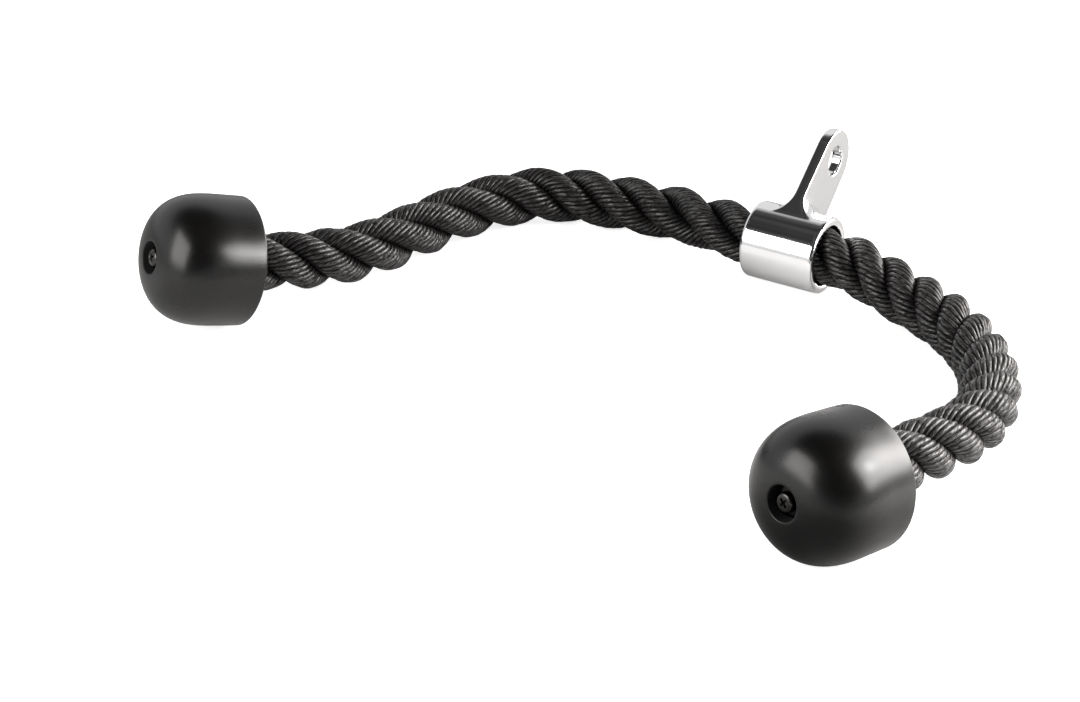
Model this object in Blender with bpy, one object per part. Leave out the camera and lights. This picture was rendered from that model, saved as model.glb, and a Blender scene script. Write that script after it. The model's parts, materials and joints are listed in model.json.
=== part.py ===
"""Triceps rope attachment for a cable machine.

A laid rope runs through a cast collar that carries an eye tab, and ends in two
rubber balls. Each ball is held by a screw that runs into a threaded plug, and
a crimped ferrule holds that plug on the rope's end.

Metres, +Z up. The collar's bore runs along X, and the arms lie toward -Y.
"""
import math

import bmesh
import bpy
from mathutils import Matrix, Vector

# Rope and the clearances around it
ROPE_RADIUS = 0.0145
CRIMPED_ROPE_RADIUS = 0.0128
SEAT_GAP = 0.0003
BORE_CLEARANCE = 0.0009
ROPE_POINT_SPACING = 0.0135
ROPE_SIDES_RESOLUTION = 4

# Collar
COLLAR_WALL = 0.0043
COLLAR_LENGTH = 0.0410
COLLAR_OUTER_ROUND = 0.0018
COLLAR_INNER_ROUND = 0.0014
BORE_RADIUS = ROPE_RADIUS + BORE_CLEARANCE
COLLAR_RADIUS = BORE_RADIUS + COLLAR_WALL

# Eye tab, along the direction in which it leans back from the collar
TAB_LEAN = math.radians(50)
TAB_THICKNESS = 0.0060
TAB_EDGE_ROUND = 0.0005
TAB_FOOT_FILLET = 0.0085
EYE_DISTANCE = 0.0516
EYE_RADIUS = 0.0076
EYE_RIM = 0.0084
EYE_EDGE_ROUND = 0.0006
CUT_OVERRUN = 0.0010

# End ball, measured along its axis from the centre of its dome
BALL_RADIUS = 0.0323
BALL_DOME_LENGTH = 0.0310
BALL_DOME_FULLNESS = 2.75
BALL_SKIRT_LENGTH = 0.0171
BALL_SKIRT_TAPER = 0.0004
BALL_RIM_ROUND = 0.0012
BALL_WEB = 0.0080
RECESS_RADIUS = 0.0080
RECESS_DEPTH = 0.0060
RECESS_EDGE_ROUND = 0.0008

# Screw, washer, ferrule and plug in the ball
SCREW_SHANK_RADIUS = 0.0024
SCREW_HEAD_RADIUS = 0.0046
SCREW_HEAD_HEIGHT = 0.0030
SCREW_POINT = 0.0030
SCREW_LENGTH = 0.0215
SCREW_TURNS = {"left": math.radians(18), "right": math.radians(40)}
CROSS_SPAN = 0.0052
CROSS_WIDTH = 0.0013
CROSS_DEPTH = 0.0018
WASHER_RADIUS = 0.0070
WASHER_THICKNESS = 0.0012
FERRULE_WALL = 0.0014
FERRULE_LENGTH = 0.0290
CRIMP_DEPTH = 0.0005
CRIMP_WIDTH = 0.0040
CRIMP_COUNT = 2
CRIMP_TAPER = 0.0030
PLUG_LENGTH = 0.0140
PLUG_CHAMFER = 0.0010

# Where the arms turn, beyond each mouth of the collar
PIVOT_REACH = 0.00725

COLLAR_SEGMENTS = 56
BALL_SEGMENTS = 48
SMALL_SEGMENTS = 28
ARC_STEPS = 4
DOME_STEPS = 12
MERGE_DISTANCE = 0.000001
SHARP_ANGLE = math.radians(35)

# Routes of the arms from the pivot to the centre of the ball, by hand
LEFT_ROUTE = [
    (0.0000, 0.0000, 0.0000), (-0.0118, 0.0024, -0.0002),
    (-0.0238, 0.0064, -0.0014), (-0.0355, 0.0098, -0.0031),
    (-0.0473, 0.0115, -0.0044), (-0.0587, 0.0117, -0.0049),
    (-0.0703, 0.0107, -0.0050), (-0.0823, 0.0090, -0.0050),
    (-0.0943, 0.0069, -0.0050), (-0.1057, 0.0032, -0.0050),
    (-0.1163, -0.0022, -0.0050), (-0.1252, -0.0100, -0.0050),
    (-0.1321, -0.0198, -0.0049), (-0.1373, -0.0303, -0.0048),
    (-0.1416, -0.0410, -0.0047), (-0.1449, -0.0520, -0.0046),
    (-0.1473, -0.0635, -0.0043), (-0.1492, -0.0753, -0.0039),
    (-0.1506, -0.0877, -0.0033), (-0.1522, -0.1000, -0.0026),
    (-0.1547, -0.1120, -0.0016), (-0.1582, -0.1235, -0.0004),
    (-0.1627, -0.1346, 0.0011), (-0.1681, -0.1456, 0.0029),
    (-0.1739, -0.1569, 0.0053), (-0.1799, -0.1678, 0.0080),
    (-0.1855, -0.1781, 0.0111), (-0.1935, -0.1925, 0.0156),
]
RIGHT_ROUTE = [
    (0.0000, 0.0000, 0.0000), (0.0118, -0.0026, -0.0008),
    (0.0227, -0.0056, -0.0025), (0.0338, -0.0090, -0.0041),
    (0.0452, -0.0132, -0.0049), (0.0568, -0.0184, -0.0050),
    (0.0678, -0.0246, -0.0049), (0.0780, -0.0320, -0.0048),
    (0.0871, -0.0402, -0.0045), (0.0952, -0.0488, -0.0041),
    (0.1023, -0.0578, -0.0036), (0.1087, -0.0676, -0.0030),
    (0.1142, -0.0780, -0.0022), (0.1188, -0.0890, -0.0014),
    (0.1224, -0.1002, -0.0005), (0.1247, -0.1114, 0.0005),
    (0.1254, -0.1223, 0.0016), (0.1248, -0.1328, 0.0028),
    (0.1233, -0.1432, 0.0040), (0.1212, -0.1540, 0.0053),
    (0.1187, -0.1656, 0.0067), (0.1163, -0.1770, 0.0082),
    (0.1132, -0.1915, 0.0101), (0.1097, -0.2072, 0.0120),
    (0.1049, -0.2235, 0.0141),
]

# Colour, roughness and metallic value of each material
FINISHES = {
    "chrome": ((0.78, 0.79, 0.80), 0.09, 1.0),
    "rope_nylon": ((0.022, 0.020, 0.019), 0.72, 0.0),
    "ball_rubber": ((0.011, 0.011, 0.011), 0.38, 0.0),
    "screw_steel": ((0.10, 0.10, 0.10), 0.34, 1.0),
    "washer_steel": ((0.16, 0.16, 0.16), 0.38, 1.0),
    "ferrule_aluminium": ((0.62, 0.62, 0.63), 0.36, 1.0),
    "plug_steel": ((0.42, 0.42, 0.43), 0.40, 1.0),
}


def clearScene():
    for obj in list(bpy.data.objects):
        bpy.data.objects.remove(obj, do_unlink=True)


def addMaterial(name):
    colour, roughness, metallic = FINISHES[name]
    material = bpy.data.materials.new(name)
    material.use_nodes = True
    shader = material.node_tree.nodes["Principled BSDF"]
    shader.inputs["Base Color"].default_value = (*colour, 1.0)
    shader.inputs["Roughness"].default_value = roughness
    shader.inputs["Metallic"].default_value = metallic
    return material


def addEmpty(name, parent, location, turn=None):
    """An empty that carries what moves or sits together."""
    empty = bpy.data.objects.new(name, None)
    bpy.context.scene.collection.objects.link(empty)
    empty.parent = parent
    empty.location = location
    if turn is not None:
        empty.rotation_mode = "QUATERNION"
        empty.rotation_quaternion = turn
    return empty


def addMeshObject(name, mesh, material, parent):
    obj = bpy.data.objects.new(name, mesh)
    bpy.context.scene.collection.objects.link(obj)
    obj.parent = parent
    obj.data.materials.append(material)
    return obj


def shadeRound(obj):
    obj.data.shade_smooth()
    obj.data.set_sharp_from_angle(angle=SHARP_ANGLE)


def arcPoints(centre, radius, first, last, steps=ARC_STEPS):
    """Points of a fillet in a profile of (along the axis, radius)."""
    points = []
    for step in range(steps + 1):
        angle = math.radians(first + (last - first) * step / steps)
        points.append((centre[0] + radius * math.cos(angle),
                       centre[1] + radius * math.sin(angle)))
    return points


def revolved(name, profile, segments, material, parent, closed=True):
    """Spins a profile of (along X, radius) once round the X axis."""
    bm = bmesh.new()
    verts = [bm.verts.new((along, 0, radius)) for along, radius in profile]
    edges = [bm.edges.new(pair) for pair in zip(verts, verts[1:])]
    if closed:
        edges.append(bm.edges.new((verts[-1], verts[0])))
    bmesh.ops.spin(bm, geom=verts + edges, cent=(0, 0, 0), axis=(1, 0, 0),
                   angle=math.tau, steps=segments, use_merge=True)
    bmesh.ops.remove_doubles(bm, verts=bm.verts, dist=MERGE_DISTANCE)
    bmesh.ops.recalc_face_normals(bm, faces=bm.faces)
    mesh = bpy.data.meshes.new(name)
    bm.to_mesh(mesh)
    bm.free()
    obj = addMeshObject(name, mesh, material, parent)
    shadeRound(obj)
    return obj


def collarProfile():
    half = COLLAR_LENGTH / 2
    outer = COLLAR_OUTER_ROUND
    inner = COLLAR_INNER_ROUND
    top = COLLAR_RADIUS - outer
    bore = BORE_RADIUS + inner
    return (arcPoints((half - outer, top), outer, 90, 0)
            + arcPoints((half - inner, bore), inner, 0, -90)
            + arcPoints((inner - half, bore), inner, 270, 180)
            + arcPoints((outer - half, top), outer, 180, 90))


# Shares of the tab's width and height at which its surface is sampled
TAB_ACROSS_SHARES = (0, 0.28, 0.52, 0.70, 0.78, 0.85, 0.92, 1)
TAB_UP_SHARES = (0, 0.035, 0.055, 0.08, 0.11, 0.15, 0.20, 0.27, 0.42, 0.60,
                 0.80, 0.93, 0.968, 0.982, 0.992, 1)


def tabHalfThickness(across, along, base, end):
    """Half the tab's thickness there, with its foot fillet and round edge."""
    foot = math.hypot(across, along) - COLLAR_RADIUS
    half = TAB_THICKNESS / 2
    if foot < TAB_FOOT_FILLET:
        drop = TAB_FOOT_FILLET - max(foot, 0)
        half += TAB_FOOT_FILLET - math.sqrt(TAB_FOOT_FILLET ** 2 - drop ** 2)
    slope = math.asin((base - end) / EYE_DISTANCE)
    rise = along - EYE_DISTANCE
    if rise > abs(across) * math.tan(slope):
        inset = end - math.hypot(across, rise)
    else:
        inset = base - abs(across) * math.cos(slope) - along * math.sin(slope)
    if inset < TAB_EDGE_ROUND:
        short = TAB_EDGE_ROUND - max(inset, 0)
        half -= TAB_EDGE_ROUND - math.sqrt(TAB_EDGE_ROUND ** 2 - short ** 2)
    return half


def tabMesh():
    """The tab: a sheet that spans two circles, thick at its foot."""
    base = (BORE_RADIUS + COLLAR_RADIUS) / 2
    end = EYE_RADIUS + EYE_RIM
    widest = math.pi / 2 - math.asin((base - end) / EYE_DISTANCE)
    acrossShares = ([-share for share in reversed(TAB_ACROSS_SHARES[1:])]
                    + list(TAB_ACROSS_SHARES))
    bm = bmesh.new()
    front, back = [], []
    for up in TAB_UP_SHARES:
        frontRow, backRow = [], []
        for share in acrossShares:
            angle = share * widest
            radius = base + (end - base) * up
            across = radius * math.sin(angle)
            along = radius * math.cos(angle) + EYE_DISTANCE * up
            half = tabHalfThickness(across, along, base, end)
            y = along * math.sin(TAB_LEAN) + across * math.cos(TAB_LEAN)
            z = along * math.cos(TAB_LEAN) - across * math.sin(TAB_LEAN)
            frontRow.append(bm.verts.new((half, y, z)))
            backRow.append(bm.verts.new((-half, y, z)))
        front.append(frontRow)
        back.append(backRow)
    for rows in (front, back):
        for low, high in zip(rows, rows[1:]):
            for i in range(len(low) - 1):
                bm.faces.new((low[i], low[i + 1], high[i + 1], high[i]))
    edgeFront = front[0] + [row[-1] for row in front[1:]]
    edgeFront += front[-1][-2::-1] + [row[0] for row in front[-2:0:-1]]
    edgeBack = back[0] + [row[-1] for row in back[1:]]
    edgeBack += back[-1][-2::-1] + [row[0] for row in back[-2:0:-1]]
    for i in range(len(edgeFront)):
        j = (i + 1) % len(edgeFront)
        bm.faces.new((edgeFront[i], edgeFront[j], edgeBack[j], edgeBack[i]))
    bmesh.ops.recalc_face_normals(bm, faces=bm.faces)
    mesh = bpy.data.meshes.new("tab")
    bm.to_mesh(mesh)
    bm.free()
    return mesh


def eyeCutterProfile():
    """A plain bore that flares at both faces, so the eye's rims are round."""
    face = TAB_THICKNESS / 2
    edge = EYE_EDGE_ROUND
    rim = EYE_RADIUS + edge
    return ([(-face - CUT_OVERRUN, 0), (-face - CUT_OVERRUN, rim)]
            + arcPoints((edge - face, rim), edge, 180, 270)
            + arcPoints((face - edge, rim), edge, -90, 0)
            + [(face + CUT_OVERRUN, rim), (face + CUT_OVERRUN, 0)])


def hideCutter(cutter):
    cutter.hide_render = True
    cutter.display_type = "WIRE"


def addBoolean(obj, other, operation):
    modifier = obj.modifiers.new(other.name, "BOOLEAN")
    modifier.operation = operation
    modifier.solver = "EXACT"
    modifier.object = other
    hideCutter(other)


def addCollar(parent, material):
    collar = revolved("collar_eye", collarProfile(), COLLAR_SEGMENTS, material,
                      parent)
    tab = addMeshObject("cut_tab", tabMesh(), material, parent)
    shadeRound(tab)
    eye = revolved("cut_eye", eyeCutterProfile(), SMALL_SEGMENTS, material,
                   parent, closed=False)
    eye.location = (0, EYE_DISTANCE * math.sin(TAB_LEAN),
                    EYE_DISTANCE * math.cos(TAB_LEAN))
    addBoolean(collar, tab, "UNION")
    addBoolean(collar, eye, "DIFFERENCE")
    return collar


def smoothLine(points, spacing):
    """Points about a spacing apart on a smooth curve through the route."""
    points = [Vector(point) for point in points]
    line = [points[0]]
    for i in range(len(points) - 1):
        before = points[max(i - 1, 0)]
        after = points[min(i + 2, len(points) - 1)]
        a, b = points[i], points[i + 1]
        leave, arrive = (b - before) / 2, (after - a) / 2
        steps = max(1, round((b - a).length / spacing))
        for step in range(1, steps + 1):
            t = step / steps
            line.append(a * (2 * t ** 3 - 3 * t ** 2 + 1)
                        + leave * (t ** 3 - 2 * t ** 2 + t)
                        + b * (3 * t ** 2 - 2 * t ** 3)
                        + arrive * (t ** 3 - t ** 2))
    return line


def addTube(name, points, radii, material, parent):
    """A round rope as a curve with filled ends and a radius at each point."""
    curve = bpy.data.curves.new(name, "CURVE")
    curve.dimensions = "3D"
    curve.bevel_depth = ROPE_RADIUS
    curve.bevel_resolution = ROPE_SIDES_RESOLUTION
    curve.use_fill_caps = True
    spline = curve.splines.new("POLY")
    spline.points.add(len(points) - 1)
    for target, point, radius in zip(spline.points, points, radii):
        target.co = (*point, 1)
        target.radius = radius / ROPE_RADIUS
    spline.use_smooth = True
    obj = bpy.data.objects.new(name, curve)
    bpy.context.scene.collection.objects.link(obj)
    obj.parent = parent
    obj.data.materials.append(material)
    return obj


# Shares of the rope's radius at which its round end in the collar is sampled
ROUND_END_SHARES = (0.985, 0.92, 0.80, 0.62, 0.42, 0.20)


def ballAxis(route):
    """The way the ball's pole looks, as its rope runs into it."""
    return (Vector(route[-1]) - Vector(route[-2])).normalized()


def addArmRope(name, route, material, parent):
    """An arm of the rope, round at its pivot and crimped in its ball."""
    start = Vector(route[1]).normalized()
    line = smoothLine(route, ROPE_POINT_SPACING)
    axis = ballAxis(route)
    centre = Vector(route[-1])
    ferruleBack = ballFloor() - FERRULE_LENGTH - SEAT_GAP
    neck = ferruleBack - SEAT_GAP
    points, radii = [], []
    for share in ROUND_END_SHARES:
        points.append(-start * ROPE_RADIUS * share)
        radii.append(ROPE_RADIUS * math.sqrt(1 - share ** 2))
    reach = centre.length
    for point in line:
        along = (point - centre).dot(axis)
        if along > neck - CRIMP_TAPER and (point - centre).length < reach / 2:
            continue
        points.append(point)
        radii.append(ROPE_RADIUS)
    end = ballFloor() - PLUG_LENGTH - 2 * SEAT_GAP
    for along, radius in ((neck - CRIMP_TAPER, ROPE_RADIUS),
                          (neck, CRIMPED_ROPE_RADIUS),
                          (end, CRIMPED_ROPE_RADIUS)):
        points.append(centre + axis * along)
        radii.append(radius)
    return addTube(name, points, radii, material, parent)


def pivotDistance():
    return COLLAR_LENGTH / 2 + PIVOT_REACH


def addMiddleRope(material, parent):
    half = pivotDistance() - ROPE_RADIUS - SEAT_GAP
    ends = [Vector((-half, 0, 0)), Vector((0, 0, 0)), Vector((half, 0, 0))]
    return addTube("rope_middle", ends, [ROPE_RADIUS] * len(ends), material,
                   parent)


def recessFloor():
    return BALL_DOME_LENGTH - RECESS_DEPTH


def ballFloor():
    """The bottom of the socket that takes the rope's end."""
    return recessFloor() - BALL_WEB


def socketRadius():
    return max(ROPE_RADIUS, ferruleRadius()) + SEAT_GAP


def ferruleRadius():
    return CRIMPED_ROPE_RADIUS + SEAT_GAP + FERRULE_WALL


def domePoints():
    """The dome from the recess's edge to where the skirt starts."""
    lip = RECESS_RADIUS + RECESS_EDGE_ROUND
    power = 2 / BALL_DOME_FULLNESS
    first = math.asin((lip / BALL_RADIUS) ** (1 / power))
    points = []
    for step in range(DOME_STEPS + 1):
        angle = first + (math.pi / 2 - first) * step / DOME_STEPS
        points.append((BALL_DOME_LENGTH * max(math.cos(angle), 0) ** power,
                       BALL_RADIUS * math.sin(angle) ** power))
    return points


def ballProfile():
    """The outside from the recess to the rim, then the socket and the web."""
    dome = domePoints()
    edge = RECESS_EDGE_ROUND
    back = -BALL_SKIRT_LENGTH
    rim = BALL_RADIUS - BALL_SKIRT_TAPER - BALL_RIM_ROUND
    hole = SCREW_SHANK_RADIUS + SEAT_GAP
    lipAlong = dome[0][0] - edge
    lip = arcPoints((lipAlong, RECESS_RADIUS + edge), edge, 270, 360)[:-1]
    outer = dome + arcPoints((back + BALL_RIM_ROUND, rim), BALL_RIM_ROUND,
                             90, 180)
    socket = [(back, socketRadius() + edge), (back + edge, socketRadius()),
              (ballFloor(), socketRadius()), (ballFloor(), hole),
              (recessFloor(), hole), (recessFloor(), RECESS_RADIUS)]
    return lip + outer + socket


def screwSeat():
    return recessFloor() + WASHER_THICKNESS + 2 * SEAT_GAP


def screwProfile():
    """A pan head over a shank with a blunt point."""
    seat = screwSeat()
    top = seat + SCREW_HEAD_HEIGHT
    crown = SCREW_HEAD_HEIGHT / 2
    head = [(top - crown + crown * math.cos(math.radians(angle)),
             SCREW_HEAD_RADIUS - crown
             + crown * math.sin(math.radians(angle)))
            for angle in (0, 22.5, 45, 67.5, 90)]
    tip = seat - SCREW_LENGTH
    return ([(top, 0)] + head + [(seat, SCREW_HEAD_RADIUS),
            (seat, SCREW_SHANK_RADIUS), (tip + SCREW_POINT, SCREW_SHANK_RADIUS),
            (tip, SCREW_SHANK_RADIUS / 2), (tip, 0)])


# Share of the cross recess's span and width that is left at its bottom
CROSS_BOTTOM_SHARE = 0.55


def crossMesh():
    """The driver's recess: a plus that narrows on its way down."""
    top = screwSeat() + SCREW_HEAD_HEIGHT
    span, width = CROSS_SPAN / 2, CROSS_WIDTH / 2
    bm = bmesh.new()
    ring = []
    for quarter in range(4):
        turn = Matrix.Rotation(quarter * math.pi / 2, 2)
        for corner in ((span, -width), (span, width), (width, width)):
            ring.append(bm.verts.new((top + CUT_OVERRUN, *(turn @ Vector(corner)))))
    mouth = bm.faces.new(ring)
    made = bmesh.ops.extrude_face_region(bm, geom=[mouth])["geom"]
    for vert in made:
        if isinstance(vert, bmesh.types.BMVert):
            vert.co = (top - CROSS_DEPTH, vert.co.y * CROSS_BOTTOM_SHARE,
                       vert.co.z * CROSS_BOTTOM_SHARE)
    bmesh.ops.recalc_face_normals(bm, faces=bm.faces)
    mesh = bpy.data.meshes.new("cross")
    bm.to_mesh(mesh)
    bm.free()
    return mesh


def washerProfile():
    low = recessFloor() + SEAT_GAP
    high = low + WASHER_THICKNESS
    hole = SCREW_SHANK_RADIUS + SEAT_GAP
    return [(low, hole), (high, hole), (high, WASHER_RADIUS),
            (low, WASHER_RADIUS)]


def ferruleProfile():
    """A sleeve with rolled crimps round the rope's end."""
    front = ballFloor() - SEAT_GAP
    back = front - FERRULE_LENGTH
    outer = ferruleRadius()
    inner = outer - FERRULE_WALL
    crimped = FERRULE_LENGTH - PLUG_LENGTH
    pitch = crimped / (CRIMP_COUNT + 1)
    outside = [(back, outer)]
    for crimp in range(CRIMP_COUNT):
        middle = back + pitch * (crimp + 1)
        outside += [(middle - CRIMP_WIDTH / 2, outer),
                    (middle, outer - CRIMP_DEPTH),
                    (middle + CRIMP_WIDTH / 2, outer)]
    return outside + [(front, outer), (front, inner), (back, inner)]


def plugProfile():
    front = ballFloor() - SEAT_GAP
    back = front - PLUG_LENGTH
    hole = SCREW_SHANK_RADIUS + SEAT_GAP
    chamfer = PLUG_CHAMFER
    return [(front, hole), (front, CRIMPED_ROPE_RADIUS),
            (back + chamfer, CRIMPED_ROPE_RADIUS),
            (back, CRIMPED_ROPE_RADIUS - chamfer), (back, hole)]


def addEnd(side, route, armParent, materials):
    """The ball on one end of the rope, with what holds it there."""
    turn = Vector((1, 0, 0)).rotation_difference(ballAxis(route))
    end = addEmpty(f"{side}_end", armParent, route[-1], turn)
    pieces = (
        ("end_ball", ballProfile(), BALL_SEGMENTS, "ball_rubber", True),
        ("end_screw", screwProfile(), SMALL_SEGMENTS, "screw_steel", False),
        ("end_washer", washerProfile(), SMALL_SEGMENTS, "washer_steel", True),
        ("rope_ferrule", ferruleProfile(), SMALL_SEGMENTS,
         "ferrule_aluminium", True),
        ("rope_plug", plugProfile(), SMALL_SEGMENTS, "plug_steel", True),
    )
    for name, profile, segments, finish, closed in pieces:
        piece = revolved(f"{name}_{side}", profile, segments,
                         materials[finish], end, closed)
        if name == "end_screw":
            cross = addMeshObject(f"cut_cross_{side}", crossMesh(),
                                  materials[finish], end)
            cross.rotation_euler.x = SCREW_TURNS[side]
            addBoolean(piece, cross, "DIFFERENCE")


def shownBox():
    """The corners of everything that shows, as its modifiers leave it."""
    bpy.context.view_layer.update()
    graph = bpy.context.evaluated_depsgraph_get()
    low, high = Vector((math.inf,) * 3), Vector((-math.inf,) * 3)
    for obj in bpy.context.scene.objects:
        if obj.type not in ("MESH", "CURVE") or obj.hide_render:
            continue
        shown = obj.evaluated_get(graph)
        mesh = shown.to_mesh()
        for vert in mesh.vertices:
            place = shown.matrix_world @ vert.co
            low = Vector(map(min, low, place))
            high = Vector(map(max, high, place))
        shown.to_mesh_clear()
    return low, high


def standOnFloor(root):
    """Moves the part so that its box stands centred on the origin."""
    low, high = shownBox()
    root.location -= Vector(((low.x + high.x) / 2, (low.y + high.y) / 2, low.z))
    bpy.context.view_layer.update()
    print("box size", [round(side, 5) for side in high - low])


def buildPart():
    clearScene()
    materials = {name: addMaterial(name) for name in FINISHES}
    root = addEmpty("collar_frame", None, (0, 0, COLLAR_RADIUS))
    addCollar(root, materials["chrome"])
    swivel = addEmpty("rope_swivel", root, (0, 0, 0))
    addMiddleRope(materials["rope_nylon"], swivel)
    for side, way, route in (("left", -1, LEFT_ROUTE), ("right", 1, RIGHT_ROUTE)):
        bend = addEmpty(f"{side}_bend", swivel, (way * pivotDistance(), 0, 0))
        addArmRope(f"rope_{side}", route, materials["rope_nylon"], bend)
        addEnd(side, route, bend, materials)
    standOnFloor(root)
    for obj in bpy.context.scene.objects:
        if obj.type == "EMPTY":
            place = obj.matrix_world.translation
            print(obj.name, [round(value, 5) for value in place])


buildPart()
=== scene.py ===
import json
import math

import bmesh
import bpy
from mathutils import Matrix, Vector, noise


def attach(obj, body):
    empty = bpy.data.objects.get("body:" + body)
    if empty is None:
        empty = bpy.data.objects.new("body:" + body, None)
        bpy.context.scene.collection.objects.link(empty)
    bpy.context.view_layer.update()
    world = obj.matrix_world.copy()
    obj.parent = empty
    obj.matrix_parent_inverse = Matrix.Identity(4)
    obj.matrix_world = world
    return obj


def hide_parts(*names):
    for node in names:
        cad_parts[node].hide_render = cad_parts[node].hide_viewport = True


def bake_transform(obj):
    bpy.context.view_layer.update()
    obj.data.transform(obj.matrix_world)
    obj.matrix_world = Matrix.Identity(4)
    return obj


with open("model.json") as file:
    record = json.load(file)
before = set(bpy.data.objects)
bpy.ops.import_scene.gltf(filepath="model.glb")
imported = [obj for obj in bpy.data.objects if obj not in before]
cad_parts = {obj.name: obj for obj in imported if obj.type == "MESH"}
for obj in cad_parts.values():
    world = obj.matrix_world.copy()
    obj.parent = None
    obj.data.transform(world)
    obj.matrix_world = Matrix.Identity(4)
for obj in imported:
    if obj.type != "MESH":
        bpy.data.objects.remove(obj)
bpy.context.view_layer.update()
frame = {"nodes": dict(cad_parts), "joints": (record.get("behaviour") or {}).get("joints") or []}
scene = bpy.context.scene
print("frame loaded")


jointPlaces = {joint["name"]: Vector(joint["pos_m"]) for joint in frame["joints"]}
collarCentre = jointPlaces["rope_swivel"]


# the camera stands where the photograph was taken from, seen from the floor under the collar
cameraSetup = {
    "place": (0.54174, -1.11228, 0.61278),
    "azimuth": 31.88,
    "elevation": 27.94,
    "lens": 90.0,
    "sensor": 36.0,
}


def makeCamera(setup):
    data = bpy.data.cameras.new("photoCamera")
    data.lens = setup["lens"]
    data.sensor_width = setup["sensor"]
    camera = bpy.data.objects.new("photoCamera", data)
    camera.location = Vector(setup["place"]) + Vector((collarCentre.x, collarCentre.y, 0))
    camera.rotation_euler = (math.radians(90 - setup["elevation"]), 0,
                             math.radians(setup["azimuth"]))
    scene.collection.objects.link(camera)
    scene.camera = camera


makeCamera(cameraSetup)


def looseObject(name, bm):
    mesh = bpy.data.meshes.new(name)
    bm.to_mesh(mesh)
    bm.free()
    obj = bpy.data.objects.new(name, mesh)
    scene.collection.objects.link(obj)
    return obj


def addPiece(name, bm, body, material):
    piece = looseObject(name, bm)
    for polygon in piece.data.polygons:
        polygon.use_smooth = True
    piece.data.materials.append(material)
    if body:
        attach(piece, body)
    return piece


# Shader groups


def newGroup(name, inputs, outputs):
    group = bpy.data.node_groups.new(name, "ShaderNodeTree")
    for label, kind, value in inputs:
        socket = group.interface.new_socket(label, in_out="INPUT", socket_type=kind)
        if value is not None:
            socket.default_value = value
    for label, kind in outputs:
        group.interface.new_socket(label, in_out="OUTPUT", socket_type=kind)
    return group, group.nodes.new("NodeGroupInput"), group.nodes.new("NodeGroupOutput")


def mathNode(tree, operation, first, second=None, clamp=False):
    node = tree.nodes.new("ShaderNodeMath")
    node.operation = operation
    node.use_clamp = clamp
    for socket, value in zip(node.inputs, (first, second)):
        if value is None:
            continue
        if isinstance(value, (int, float)):
            socket.default_value = value
        else:
            tree.links.new(value, socket)
    return node.outputs[0]


def noiseNode(tree, vector, scale, detail=3.0, roughness=0.5):
    node = tree.nodes.new("ShaderNodeTexNoise")
    node.inputs["Detail"].default_value = detail
    node.inputs["Roughness"].default_value = roughness
    if isinstance(scale, (int, float)):
        node.inputs["Scale"].default_value = scale
    else:
        tree.links.new(scale, node.inputs["Scale"])
    tree.links.new(vector, node.inputs["Vector"])
    return node.outputs["Fac"]


def rampNode(tree, value, low, high):
    # 0 at low, 1 at high
    node = tree.nodes.new("ShaderNodeMapRange")
    node.inputs["From Min"].default_value = low
    node.inputs["From Max"].default_value = high
    tree.links.new(value, node.inputs["Value"])
    return node.outputs["Result"]


def spreadNode(tree, value, low, high):
    # low at 0, high at 1
    node = tree.nodes.new("ShaderNodeMapRange")
    node.inputs["To Min"].default_value = low
    node.inputs["To Max"].default_value = high
    tree.links.new(value, node.inputs["Value"])
    return node.outputs["Result"]


def vectorNode(tree, operation, vector, fixed):
    node = tree.nodes.new("ShaderNodeVectorMath")
    node.operation = operation
    node.inputs[1].default_value = fixed
    tree.links.new(vector, node.inputs[0])
    return node.outputs["Value"]


def layerNode(tree, name):
    node = tree.nodes.new("ShaderNodeAttribute")
    node.attribute_name = name
    return node.outputs["Fac"]


def mixColours(tree, share, first, second):
    node = tree.nodes.new("ShaderNodeMix")
    node.data_type = "RGBA"
    for socket, value in ((node.inputs[0], share), (node.inputs[6], first),
                          (node.inputs[7], second)):
        if isinstance(value, (int, float)):
            socket.default_value = value
        elif isinstance(value, tuple):
            socket.default_value = (*value, 1.0)
        else:
            tree.links.new(value, socket)
    return node.outputs[2]


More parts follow.
